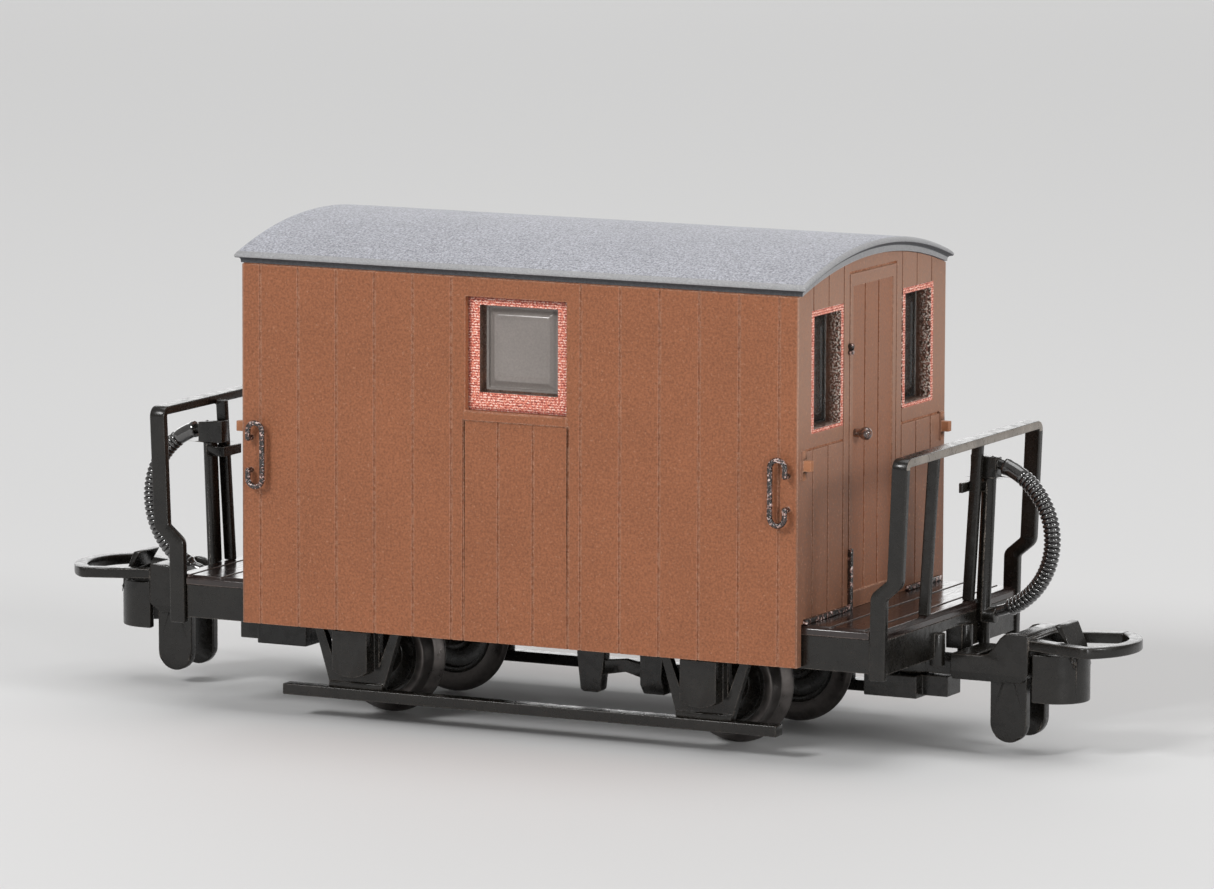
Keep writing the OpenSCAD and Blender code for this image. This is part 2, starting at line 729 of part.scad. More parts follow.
module keeper_screw() {
    color("silver") difference() {
        union() {
            translate([swing_x, 0, 2.97]) cylinder(h = 0.48, r = 0.8, $fn = 32);
            translate([swing_x, 0, 3.4]) cylinder(h = 3.85, r = screw_r, $fn = 32);
        }
        span([swing_x - 1, -0.1, 2.9], [swing_x + 1, 0.1, 3.15]);
    }
}

// ---------- which nodes are drawn ----------

roof();
body_shell();
side_window_frame();  // side_window_frame_near
half_turn() side_window_frame();  // side_window_frame_far
end_window_frame(-1);  // end_window_frame_right_near
end_window_frame(1);  // end_window_frame_right_far
half_turn() end_window_frame(1);  // end_window_frame_left_near
half_turn() end_window_frame(-1);  // end_window_frame_left_far
side_glazing();  // side_glazing_near
half_turn() side_glazing();  // side_glazing_far
end_glazing(-1);  // end_glazing_right_near
end_glazing(1);  // end_glazing_right_far
half_turn() end_glazing(1);  // end_glazing_left_near
half_turn() end_glazing(-1);  // end_glazing_left_far
handrail();  // handrail_near_right
mirror([1, 0, 0]) handrail();  // handrail_near_left
mirror([0, 1, 0]) handrail();  // handrail_far_right
half_turn() handrail();  // handrail_far_left
door_handle();  // door_handle_right
half_turn() door_handle();  // door_handle_left
door_catch();  // door_catch_right
half_turn() door_catch();  // door_catch_left
end_beading();  // end_beading_right
half_turn() end_beading();  // end_beading_left
underframe();
side_frame();  // side_frame_near
half_turn() side_frame();  // side_frame_far
footboard();  // footboard_near
half_turn() footboard();  // footboard_far
brake_gear();
platform_deck();  // platform_deck_right
half_turn() platform_deck();  // platform_deck_left
end_railing();  // end_railing_right
half_turn() end_railing();  // end_railing_left
standpipe();  // standpipe_right
half_turn() standpipe();  // standpipe_left
brake_hose();  // brake_hose_right
half_turn() brake_hose();  // brake_hose_left
ballast_weight();
axle();  // axle_right
half_turn() axle();  // axle_left
wheel_centre();  // wheel_centre_right_near
mirror([0, 1, 0]) wheel_centre();  // wheel_centre_right_far
mirror([1, 0, 0]) wheel_centre();  // wheel_centre_left_near
half_turn() wheel_centre();  // wheel_centre_left_far
wheel_tyre();  // wheel_tyre_right_near
mirror([0, 1, 0]) wheel_tyre();  // wheel_tyre_right_far
mirror([1, 0, 0]) wheel_tyre();  // wheel_tyre_left_near
half_turn() wheel_tyre();  // wheel_tyre_left_far
coupling_arm();  // coupling_arm_right
half_turn() coupling_arm();  // coupling_arm_left
coupling_hook();  // coupling_hook_right
half_turn() coupling_hook();  // coupling_hook_left
coupling_pin();  // coupling_pin_right
half_turn() coupling_pin();  // coupling_pin_left
coupling_keeper();  // coupling_keeper_right
half_turn() coupling_keeper();  // coupling_keeper_left
keeper_screw();  // keeper_screw_right
half_turn() keeper_screw();  // keeper_screw_left
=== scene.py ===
"""Looks of the narrow-gauge model coach: softened mouldings, ribbed hoses, materials and light."""

import json
import math

import bmesh
import bpy
from mathutils import Matrix, Vector


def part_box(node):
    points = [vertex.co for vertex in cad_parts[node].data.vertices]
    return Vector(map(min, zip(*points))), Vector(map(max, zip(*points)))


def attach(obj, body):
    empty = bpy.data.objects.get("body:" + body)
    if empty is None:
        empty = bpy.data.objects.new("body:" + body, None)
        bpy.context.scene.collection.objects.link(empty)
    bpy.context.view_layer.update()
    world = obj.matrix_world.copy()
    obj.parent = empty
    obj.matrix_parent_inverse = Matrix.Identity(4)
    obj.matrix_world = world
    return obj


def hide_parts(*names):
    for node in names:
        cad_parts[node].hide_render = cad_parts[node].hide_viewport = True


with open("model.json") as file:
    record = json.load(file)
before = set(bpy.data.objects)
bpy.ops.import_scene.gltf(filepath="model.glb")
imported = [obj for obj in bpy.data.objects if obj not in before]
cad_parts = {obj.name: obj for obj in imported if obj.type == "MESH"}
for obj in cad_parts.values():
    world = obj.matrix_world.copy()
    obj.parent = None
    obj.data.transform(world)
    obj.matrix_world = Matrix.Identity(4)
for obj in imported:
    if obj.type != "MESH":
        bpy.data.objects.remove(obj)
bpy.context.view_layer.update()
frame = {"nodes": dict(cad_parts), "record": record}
nodes = frame["nodes"]
MM = 0.001
body_of = {n: b for b, ns in frame["record"]["behaviour"]["bodies"].items() for n in ns}


# ---------- camera ----------

# where the camera stands, how it is turned, and its focal length in millimetres
CAMERA_AT = Vector((207.67, -416.34, 80.37)) * MM
YAW, PITCH, ROLL = math.radians(26.418), math.radians(7.871), math.radians(0.196)
LENS = 238.65


def make_camera():
    """A long lens at the side of the right end, a little above the roof."""
    level = math.cos(PITCH)
    back = Vector((math.sin(YAW) * level, -math.cos(YAW) * level, math.sin(PITCH)))
    right = Vector((math.cos(YAW), math.sin(YAW), 0))
    up = back.cross(right)
    right, up = (
        math.cos(ROLL) * right + math.sin(ROLL) * up,
        math.cos(ROLL) * up - math.sin(ROLL) * right,
    )
    data = bpy.data.cameras.new("camera")
    data.lens, data.sensor_width, data.sensor_fit = LENS, 36, "HORIZONTAL"
    data.clip_start, data.clip_end = 0.01, 20
    camera = bpy.data.objects.new("camera", data)
    turn = Matrix((right, up, back)).transposed().to_4x4()
    camera.matrix_world = Matrix.Translation(CAMERA_AT) @ turn
    bpy.context.collection.objects.link(camera)
    bpy.context.scene.camera = camera


# ---------- materials ----------

# places where a look changes, in millimetres: how far the end walls and the lamp irons stand from
# the middle of the coach, and the height of the railing's top bar
END_WALL, LAMP_IRON, TOP_BAR = 17.7, 17.95, 17.3


class Look:
    """A node material whose coordinates are millimetres in the coach's own frame."""

    def __init__(self, name, colour, roughness, **sockets):
        self.made = bpy.data.materials.new(name)
        self.made.use_nodes = True
        self.tree = self.made.node_tree
        self.shader = self.tree.nodes["Principled BSDF"]
        self.shader.inputs["Base Color"].default_value = (*colour, 1)
        self.shader.inputs["Roughness"].default_value = roughness
        for socket, value in sockets.items():
            self.shader.inputs[socket.replace("_", " ")].default_value = value
        self.colour = self.value(colour)
        self.normal = None
        place = self.add("ShaderNodeTexCoord").outputs["Object"]
        self.place = self.vector("MULTIPLY", place, (1 / MM,) * 3)

    def add(self, kind, **settings):
        node = self.tree.nodes.new(kind)
        for key, value in settings.items():
            setattr(node, key, value)
        return node

    def link(self, source, target):
        if hasattr(source, "links"):
            self.tree.links.new(source, target)
        else:
            target.default_value = source

    def value(self, colour):
        node = self.add("ShaderNodeRGB")
        node.outputs[0].default_value = (*colour, 1)
        return node.outputs[0]

    def vector(self, operation, a, b):
        node = self.add("ShaderNodeVectorMath", operation=operation)
        self.link(a, node.inputs[0])
        self.link(b, node.inputs[1])
        return node.outputs[0]

    def maths(self, operation, a, b=0.0, c=0.0, clamp=False):
        node = self.add("ShaderNodeMath", operation=operation, use_clamp=clamp)
        for k, value in enumerate((a, b, c)):
            self.link(value, node.inputs[k])
        return node.outputs[0]

    def spread(self, source, low, high, to_low=0.0, to_high=1.0):
        """The source between low and high, taken to to_low and to_high."""
        node = self.add("ShaderNodeMapRange")
        for k, value in enumerate((source, low, high, to_low, to_high)):
            self.link(value, node.inputs[k])
        return node.outputs[0]

    def along(self, axis):
        """Distance from the middle of the coach along an axis, in millimetres."""
        node = self.add("ShaderNodeSeparateXYZ")
        self.link(self.place, node.inputs[0])
        return self.maths("ABSOLUTE", node.outputs[axis])

    def noise(self, size, detail=3, stretch=(1, 1, 1), rough=0.6):
        """Noise whose blots are about size millimetres across."""
        node = self.add("ShaderNodeTexNoise")
        self.link(self.vector("MULTIPLY", self.place, stretch), node.inputs["Vector"])
        node.inputs["Scale"].default_value = 1 / size
        node.inputs["Detail"].default_value = detail
        node.inputs["Roughness"].default_value = rough
        return node.outputs["Fac"]

    def tint(self, amount, colour):
        """Mixes a colour in where amount is 1."""
        node = self.add("ShaderNodeMix", data_type="RGBA")
        self.link(amount, node.inputs["Factor"])
        self.link(self.colour, node.inputs["A"])
        node.inputs["B"].default_value = (*colour, 1)
        self.colour = node.outputs["Result"]

    def shade(self, factor):
        """Multiplies the colour by a grey factor."""
        node = self.add("ShaderNodeVectorMath", operation="SCALE")
        self.link(self.colour, node.inputs[0])
        self.link(factor, node.inputs["Scale"])
        self.colour = node.outputs[0]

    def bump(self, height, depth):
        """Raises the surface by depth millimetres where height is 1."""
        node = self.add("ShaderNodeBump")
        node.inputs["Distance"].default_value = depth * MM
        self.link(height, node.inputs["Height"])
        if self.normal is not None:
            self.link(self.normal, node.inputs["Normal"])
        self.normal = node.outputs[0]

    def edges(self, radius):
        """1 on edges sharper than a bevel of this radius, 0 on flat faces."""
        bevel = self.add("ShaderNodeBevel", samples=4)
        bevel.inputs["Radius"].default_value = radius * MM
        flat = self.add("ShaderNodeNewGeometry").outputs["Normal"]
        same = self.add("ShaderNodeVectorMath", operation="DOT_PRODUCT")
        self.link(bevel.outputs[0], same.inputs[0])
        self.link(flat, same.inputs[1])
        return self.spread(same.outputs["Value"], 0.995, 0.8)

    def hollows(self, reach):
        """1 deep in corners and grooves, 0 on open faces."""
        node = self.add("ShaderNodeAmbientOcclusion", samples=4)
        node.inputs["Distance"].default_value = reach * MM
        return self.maths("SUBTRACT", 1.0, node.outputs["AO"], clamp=True)

    def rough(self, source):
        self.link(source, self.shader.inputs["Roughness"])

    def done(self):
        self.link(self.colour, self.shader.inputs["Base Color"])
        if self.normal is not None:
            self.link(self.normal, self.shader.inputs["Normal"])
        return self.made


def body_paint():
    """Matt brown moulded plastic with a fine speckle, with painted highlights in the grooves and on
    the edges.
    """
    look = Look("body_brown", (0.288, 0.107, 0.05), 0.5, Specular_IOR_Level=0.3)
    grain = look.noise(0.14, 3)
    cloud = look.noise(5, 3)
    look.shade(look.spread(grain, 0.3, 0.7, 0.74, 1.26))
    look.shade(look.spread(cloud, 0.3, 0.7, 0.95, 1.05))
    # the end walls get a grey painted sheen towards the top, painted shade towards the platform and
    # a touch of painted light high up
    end = look.spread(look.along(0), END_WALL, END_WALL + 0.1)
    height = look.along(2)
    painted_sheen = look.maths("MULTIPLY", end, look.spread(height, 13, 21, 0.2, 0.46))
    look.tint(painted_sheen, (0.34, 0.255, 0.205))
    look.shade(look.maths("MULTIPLY_ADD", end, look.spread(height, 14, 19.5, -0.3, 0.07), 1))
    look.tint(look.spread(look.along(0), LAMP_IRON, LAMP_IRON + 0.1, 0, 0.6), (0.4, 0.15, 0.055))
    look.tint(look.spread(look.noise(0.16, 2), 0.62, 0.76, 0, 0.45), (0.55, 0.3, 0.19))
    look.tint(look.spread(look.noise(0.15, 2), 0.38, 0.26, 0, 0.4), (0.18, 0.06, 0.028))
    # painted highlights: pale flecks on sharp edges and in the grooves, fewer in the grooves of the
    # end walls
    flecks = look.spread(look.noise(0.18, 3), 0.42, 0.6, 0.1, 0.9)
    look.tint(look.maths("MULTIPLY", look.edges(0.09), flecks), (0.66, 0.44, 0.33))
    painted_groove_highlight = look.maths("MULTIPLY", look.spread(look.hollows(0.14), 0.2, 0.5), flecks)
    look.tint(look.maths("MULTIPLY", painted_groove_highlight, look.spread(end, 0, 1, 0.95, 0.2)), (0.66, 0.37, 0.24))
    look.rough(look.spread(grain, 0.3, 0.7, 0.42, 0.6))
    look.bump(grain, 0.01)
    return look.done()


def roof_paint(name, colour, speckle=1.0):
    """Grey with a strong speckle, as if cast from a sanded mould."""
    look = Look(name, colour, 0.55, Specular_IOR_Level=0.35)
    grain = look.noise(0.13, 2, rough=0.8)
    look.shade(look.spread(grain, 0.36, 0.64, 1 - 0.45 * speckle, 1 + 0.45 * speckle))
    look.shade(look.spread(look.noise(6, 3), 0.3, 0.7, 0.95, 1.05))
    pale = [min(1, 1.9 * c) for c in colour]
    look.tint(look.spread(look.noise(0.2, 2), 0.62, 0.74, 0, 0.7 * speckle), pale)
    # painted highlight: the edges are tinted pale
    look.tint(look.maths("MULTIPLY", look.edges(0.08), 0.35), pale)
    look.rough(look.spread(grain, 0.3, 0.7, 0.46, 0.68))
    look.bump(grain, 0.05)
    return look.done()


def frame_print():
    """Salmon red laid down in fine rows of dots, with pale specks between them."""
    look = Look("frame_red", (0.6, 0.13, 0.09), 0.5)
    row = look.add("ShaderNodeTexWave", wave_type="BANDS", bands_direction="Z")
    look.link(look.place, row.inputs["Vector"])
    row.inputs["Scale"].default_value = 2.1
    row.inputs["Distortion"].default_value = 3.5
    row.inputs["Detail"].default_value = 2
    row.inputs["Detail Scale"].default_value = 3
    dots = look.noise(0.11, 2)
    height = look.maths("MULTIPLY_ADD", row.outputs["Fac"], 0.22, dots)
    look.tint(look.spread(height, 0.54, 0.64, 0, 0.9), (0.82, 0.28, 0.18))
    look.tint(look.spread(height, 0.68, 0.77, 0, 1), (1.0, 0.76, 0.66))
    look.tint(look.spread(height, 0.52, 0.42, 0, 0.9), (0.2, 0.035, 0.025))
    # painted shade where the frame sits back in the wall's opening
    look.tint(look.spread(look.hollows(0.3), 0.08, 0.35, 0, 0.75), (0.12, 0.028, 0.022))
    look.bump(height, 0.05)
    return look.done()


def frame_sides():
    """Unprinted sides of a window frame: dark brown, flecked with pink and white near the face."""
    look = Look("frame_dark", (0.06, 0.03, 0.02), 0.35)
    fleck = look.noise(0.17, 2)
    look.tint(look.spread(look.noise(1.2, 3), 0.45, 0.65, 0, 0.5), (0.16, 0.07, 0.04))
    reach = look.spread(look.along(0), END_WALL - 0.6, END_WALL + 0.05, 0.05, 1)
    look.tint(look.maths("MULTIPLY", look.spread(fleck, 0.46, 0.58), reach), (0.42, 0.2, 0.15))
    white = look.spread(look.noise(0.12, 2), 0.53, 0.58)
    look.tint(look.maths("MULTIPLY", white, reach), (1.0, 0.9, 0.8))
    look.rough(look.spread(fleck, 0.3, 0.7, 0.25, 0.5))
    look.bump(fleck, 0.03)
    return look.done()


def pane(name, colour, clearness):
    """Moulded plastic glazing with a soft ripple and a little dust."""
    look = Look(name, colour, 0.14, IOR=1.5)
    look.shader.inputs["Transmission Weight"].default_value = clearness
    look.shade(look.spread(look.noise(0.12, 2), 0.3, 0.7, 0.93, 1.07))
    look.shade(look.spread(look.noise(2.5, 3), 0.3, 0.7, 0.94, 1.06))
    look.rough(look.spread(look.noise(0.5, 3), 0.3, 0.7, 0.08, 0.2))
    look.bump(look.noise(1.2, 2), 0.01)
    look.bump(look.noise(0.1, 2), 0.002)
    return look.done()


def black_plastic(name, colour, roughness, edge_highlight_and_wear=0.75):
    """Black moulding with a satin sheen, edges tinted a warm grey as painted highlight and rubbing,
    and dust in the corners.
    """
    look = Look(name, colour, roughness, Specular_IOR_Level=0.5)
    grain = look.noise(0.12, 3)
    cloud = look.noise(1.6, 4)
    look.shade(look.spread(cloud, 0.3, 0.7, 0.7, 1.4))
    look.tint(look.spread(grain, 0.64, 0.82, 0, 0.3), (0.07, 0.066, 0.06))
    # edges tinted warm grey: painted highlights, partly rubbing too
    flecks = look.spread(look.noise(0.3, 4), 0.38, 0.62, 0.1, edge_highlight_and_wear)
    look.tint(look.maths("MULTIPLY", look.edges(0.07), flecks), (0.5, 0.43, 0.37))
    look.tint(look.maths("MULTIPLY", look.hollows(0.5), 0.08), (0.08, 0.066, 0.052))
    look.rough(look.spread(look.noise(0.5, 3), 0.3, 0.7, roughness - 0.08, roughness + 0.1))
    look.bump(grain, 0.002)
    return look.done()


def deck_boards():
    """Near-black brown boards, glossy, with grain along them and painted highlights on their edges.
    """
    look = Look("deck_brown", (0.017, 0.01, 0.0085), 0.2, Specular_IOR_Level=0.75)
    grain = look.noise(0.14, 4, stretch=(1, 0.12, 1))
    look.shade(look.spread(grain, 0.3, 0.7, 0.5, 1.6))
    look.tint(look.spread(look.noise(0.9, 4), 0.55, 0.78, 0, 0.25), (0.09, 0.06, 0.05))
    # painted highlights along the edges of the boards
    painted_edge_highlight = look.maths("MULTIPLY", look.edges(0.09), look.spread(grain, 0.35, 0.6, 0.3, 0.9))
    look.tint(painted_edge_highlight, (0.5, 0.38, 0.33))
    look.rough(look.spread(grain, 0.3, 0.7, 0.12, 0.28))
    look.bump(grain, 0.004)
    return look.done()


def bare_steel():
    """Turned steel with fine rings round the axle and a few dark stains."""
    look = Look("bare_steel", (0.42, 0.4, 0.38), 0.3, Metallic=1.0)
    look.shade(look.spread(look.noise(0.05, 2, stretch=(0.05, 1, 0.05)), 0.3, 0.7, 0.8, 1.15))
    look.tint(look.spread(look.noise(1.5, 4), 0.55, 0.8, 0, 0.6), (0.14, 0.1, 0.07))
    look.rough(look.spread(look.noise(0.4, 3), 0.3, 0.7, 0.22, 0.45))
    look.bump(look.noise(0.08, 2, stretch=(0.1, 1, 0.1)), 0.004)
    return look.done()


def wheel_metal():
    """Blackened wheel rim with painted highlights on its edges."""
    look = Look("wheel_metal", (0.1, 0.09, 0.085), 0.36, Metallic=0.8)
    stain = look.noise(0.7, 4)
    look.shade(look.spread(stain, 0.3, 0.7, 0.7, 1.4))
    # painted highlights: the edges are tinted pale
    look.tint(look.maths("MULTIPLY", look.edges(0.1), 0.7), (0.45, 0.42, 0.38))
    look.rough(look.spread(stain, 0.3, 0.7, 0.25, 0.5))
    look.bump(look.noise(0.06, 2), 0.003)
    return look.done()


def hose_rubber():
    """Glossy black hose, with painted highlights on the crests of its ribs and dust between them.
    """
    coat = {"Specular_IOR_Level": 1.0, "Coat_Weight": 1.0, "Coat_Roughness": 0.06}
    look = Look("hose_black", (0.009, 0.0085, 0.0085), 0.12, **coat)
    look.tint(look.spread(look.hollows(0.2), 0.3, 0.95, 0, 0.2), (0.05, 0.042, 0.038))
    # painted highlight: the crests of the ribs are tinted pale grey
    look.tint(look.spread(look.hollows(0.15), 0.14, 0.02, 0, 0.035), (0.5, 0.47, 0.44))
    look.shade(look.spread(look.noise(0.3, 3), 0.3, 0.7, 0.8, 1.25))
    look.rough(look.spread(look.noise(0.25, 3), 0.3, 0.7, 0.07, 0.2))
    look.bump(look.noise(0.08, 2), 0.003)
    return look.done()


def door_knob():
    """Polished brown, with dark and pale blots."""
    look = Look("handle_brown", (0.2, 0.08, 0.045), 0.14, Specular_IOR_Level=1.0, Coat_Weight=1.0)
    look.tint(look.spread(look.noise(0.25, 3), 0.45, 0.55, 0, 0.8), (0.03, 0.022, 0.02))
    look.tint(look.spread(look.noise(0.2, 3), 0.6, 0.7, 0, 0.6), (0.5, 0.38, 0.32))
    look.rough(look.spread(look.noise(0.1, 2), 0.3, 0.7, 0.1, 0.3))
    look.bump(look.noise(0.09, 2), 0.01)
    return look.done()


def flecked_gloss(name, fleck_size):
    """Glossy black-brown, flecked with brown where paint has caught it and with pale pink painted
    glints.
    """
    look = Look(name, (0.02, 0.014, 0.012), 0.14, Specular_IOR_Level=0.9)
    flecks = look.noise(fleck_size, 3)
    look.tint(look.spread(flecks, 0.52, 0.6, 0, 0.85), (0.3, 0.14, 0.11))
    # painted glints: pale pink flecks
    look.tint(look.spread(flecks, 0.6, 0.66, 0, 0.9), (0.8, 0.66, 0.62))
    look.rough(look.spread(flecks, 0.3, 0.7, 0.1, 0.3))
    look.bump(flecks, 0.06)
    return look.done()


looks = {
    "body_brown": body_paint(),
    "roof_grey": roof_paint("roof_grey", (0.345, 0.35, 0.385)),
    "frame_red": frame_print(),
    # the side panes let little light through; their grey colour is a painted reflection
    "clear_glazing": pane("clear_glazing", (0.29, 0.258, 0.238), 0.2),
    "wire_black": flecked_gloss("wire_black", 0.14),
    "gloss_black": flecked_gloss("gloss_black", 0.28),
    "underframe_black": black_plastic("underframe_black", (0.0085, 0.0074, 0.006), 0.25),
    "deck_brown": deck_boards(),
    "bare_steel": bare_steel(),
    "wheel_metal": wheel_metal(),
    "hose_black": hose_rubber(),
    "handle_brown": door_knob(),
}
dark_frame = frame_sides()
roof_shade = roof_paint("roof_shade", (0.07, 0.073, 0.08), 0.5)
roof_lip = roof_paint("roof_lip", (0.325, 0.325, 0.332), 0.25)
# pale grey-brown painted reflection for the outer face of the railing's top bar
painted_rail_reflection = black_plastic("painted_rail_reflection", (0.2, 0.175, 0.15), 0.3, edge_highlight_and_wear=0.9)
clear_pane = pane("end_pane", (0.4, 0.38, 0.36), 0.95)


# ---------- pieces ----------


def new_piece(name, mesh, slot, body):
    """An object of the coach that rides on a body and wears the look of a slot."""
    piece = bpy.data.objects.new(name, mesh)
    bpy.context.collection.objects.link(piece)
    mesh.materials.clear()
    mesh.materials.append(looks[slot])
    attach(piece, body)
    return piece


def soften(node, slot, width):
    """The CAD node's moulding with its sharp edges rounded, standing for the node."""
    mesh = bpy.data.meshes.new(node + "_soft")
    work = bmesh.new()
    work.from_mesh(nodes[node].data)
    bmesh.ops.remove_doubles(work, verts=work.verts, dist=0.002 * MM)
    bmesh.ops.join_triangles(
        work,
        faces=work.faces,
        angle_face_threshold=math.radians(0.5),
        angle_shape_threshold=math.radians(60),
    )
    for face in work.faces:
        face.smooth = True
    work.to_mesh(mesh)
    work.free()
    piece = new_piece(node + "_soft", mesh, slot, body_of[node])
    bevel = piece.modifiers.new("soft_edges", "BEVEL")
    bevel.width, bevel.segments = width * MM, 2
    bevel.limit_method, bevel.angle_limit = "ANGLE", math.radians(28)
    bevel.use_clamp_overlap = False
    weighted = piece.modifiers.new("flat_faces", "WEIGHTED_NORMAL")
    weighted.weight, weighted.keep_sharp = 100, True
    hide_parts(node)
    return piece


def darken_sides(piece, axis):
    """Leaves the print only on the faces that look outwards along an axis."""
    piece.data.materials.append(dark_frame)
    for face in piece.data.polygons:
        outward = abs(face.normal[axis]) > 0.9 and face.normal[axis] * face.center[axis] > 0
        face.material_index = 0 if outward else 1


def paint_rail_reflection(piece):
    """The outer face of the railing's top bar gets a pale grey-brown painted reflection."""
    piece.data.materials.append(painted_rail_reflection)
    for face in piece.data.polygons:
        outward = abs(face.normal.x) > 0.9 and face.normal.x * face.center.x > 0
        if outward and face.center.z > TOP_BAR * MM:
            face.material_index = 1


def stitch(name, rings, slot, node, crease, caps=(True, True)):
    """A piece skinned over rings of equally many points, in millimetres, standing for a node."""
    mesh = bpy.data.meshes.new(name)
    count = len(rings[0])
    points = [Vector(p) * MM for ring in rings for p in ring]
    faces = []
    for i in range(len(rings) - 1):
        for k in range(count):
            n = (k + 1) % count
            faces.append((i * count + k, i * count + n, (i + 1) * count + n, (i + 1) * count + k))
    if caps[0]:
        faces.append(tuple(reversed(range(count))))
    if caps[1]:
        faces.append(tuple(range((len(rings) - 1) * count, len(rings) * count)))
    mesh.from_pydata(points, [], faces)
    finish_mesh(mesh, crease)
    piece = new_piece(name, mesh, slot, body_of[node])
    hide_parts(node)
    return piece


def finish_mesh(mesh, crease):
    """Outward faces, smooth below the crease angle."""
    work = bmesh.new()
    work.from_mesh(mesh)
    bmesh.ops.recalc_face_normals(work, faces=work.faces)
    work.to_mesh(mesh)
    work.free()
    mesh.polygons.foreach_set("use_smooth", [True] * len(mesh.polygons))
    mesh.set_sharp_from_angle(angle=math.radians(crease))


def size_mm(node):
    """Lowest and highest corner of a node, in millimetres."""
    low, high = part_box(node)
    return Vector(low) / MM, Vector(high) / MM


def arched(y, crown, radius):
    """Height of an arch across the coach at y."""
    return crown - radius + math.sqrt(radius * radius - y * y)


# radii of the roof's and the end walls' curves, and the height of the end walls at their middle
ROOF_RADIUS, WALL_RADIUS, WALL_CROWN = 32.6, 35.35, 28.22
# the rim, from the edge of the roof's top round its nose to the foot of the fascia: inset and drop
RIM = (
    (0.34, 0), (0.26, 0.004), (0.2, 0.02), (0.1, 0.085), (0.03, 0.16), (0.0, 0.23), (0.015, 0.3),
    (0.07, 0.36), (0.15, 0.39), (0.22, 0.43), (0.27, 0.5), (0.29, 0.58), (0.3, 0.66),
)
# strips of the rim, counted from the roof's top: the smooth lip, the shaded cove and the fascia
LIP, COVE, FASCIA = 2, 6, 10


def make_roof():
    """Arched roof whose rim turns over a rounded nose into a cove and a fascia."""
    half_l, half_w, crown = size_mm("roof")[1]
    across, along, crease = 36, 10, 50

    def ring(inset, height):
        x, y = half_l - inset, half_w - inset
        ys = [-y + 2 * y * k / across for k in range(across)]
        xs = [x - 2 * x * k / along for k in range(along)]
        plan = [(x, v) for v in ys] + [(v, y) for v in xs]
        plan += [(-x, -v) for v in ys] + [(-v, -y) for v in xs]
        return [(px, py, height(py)) for px, py in plan]

    rings = [ring(d, lambda y, drop=drop: arched(y, crown, ROOF_RADIUS) - drop) for d, drop in RIM]
    rings.append(ring(RIM[-1][0], lambda y: arched(y, WALL_CROWN, WALL_RADIUS)))
    roof = stitch("roof_shell", rings, "roof_grey", "roof", crease, caps=(False, False))
    mesh = roof.data
    mesh.materials.append(roof_shade)
    mesh.materials.append(roof_lip)
    for face in mesh.polygons:
        strip = face.index // len(rings[0])
        long_side = abs(face.normal.y) > abs(face.normal.x)
        if strip >= FASCIA and not long_side:
            face.material_index = 2
        elif strip >= COVE:
            face.material_index = 1
        elif strip >= LIP:
            face.material_index = 2
    # strips across the top and the underside
    work = bmesh.new()
    work.from_mesh(mesh)
    work.verts.ensure_lookup_table()
    count = len(rings[0])
    for first in (0, (len(rings) - 1) * count):
        grid = []
        for j in range(along + 1):
            x = (rings[0] if first == 0 else rings[-1])[0][0] * (1 - 2 * j / along)
            row = []
            for k in range(across + 1):
                if j == 0:
                    v = work.verts[first + k]
                elif j == along:
                    v = work.verts[first + (2 * across + along - k) % count]
                elif k == 0:
                    v = work.verts[first + (2 * across + 2 * along - j) % count]
                elif k == across:
                    v = work.verts[first + across + j]
                else:
                    y = work.verts[first + k].co.y
                    v = work.verts.new((x * MM, y, work.verts[first + k].co.z))
                    work.verts.ensure_lookup_table()
                row.append(v)
            grid.append(row)
        for j in range(along):
            for k in range(across):
                work.faces.new((grid[j][k], grid[j][k + 1], grid[j + 1][k + 1], grid[j + 1][k]))
    work.to_mesh(mesh)
    work.free()
    finish_mesh(mesh, crease)


# the hose: the middle and radius of its bend, its reach above and below the level in degrees, and
# its radius over the ribs; then the pitch of the ribs and the length of the plain cuffs
HOSE_BEND = Vector((23.06, 3.9, 11.72))
HOSE_BEND_RADIUS, HOSE_TOP, HOSE_LOW, HOSE_RADIUS = 4.39, 72, 76, 0.5
RIB_PITCH = 0.28
CUFF_TOP, CUFF_FOOT = 1.35, 0.5
# radii of the top cuff, the foot cuff and the grooves between ribs, in parts of the hose's radius
TOP_WAIST, FOOT_WAIST, GROOVE = 0.93, 0.64, 0.78


def hose_radius(s, length):
    """Radius over the hose's own length: a plain cuff at the top, then ribs, then a short cuff."""
    if s < CUFF_TOP:
        lip = math.exp(-((s - 0.12) / 0.12) ** 2)
        return HOSE_RADIUS * (TOP_WAIST + (1 - TOP_WAIST) * lip)
    if s > length - CUFF_FOOT:
        return HOSE_RADIUS * FOOT_WAIST
    phase = ((s - CUFF_TOP) / RIB_PITCH + 1e-6) % 1
    return HOSE_RADIUS * (GROOVE + (1 - GROOVE) * math.sqrt(max(0, 1 - (2 * phase - 1) ** 2)))


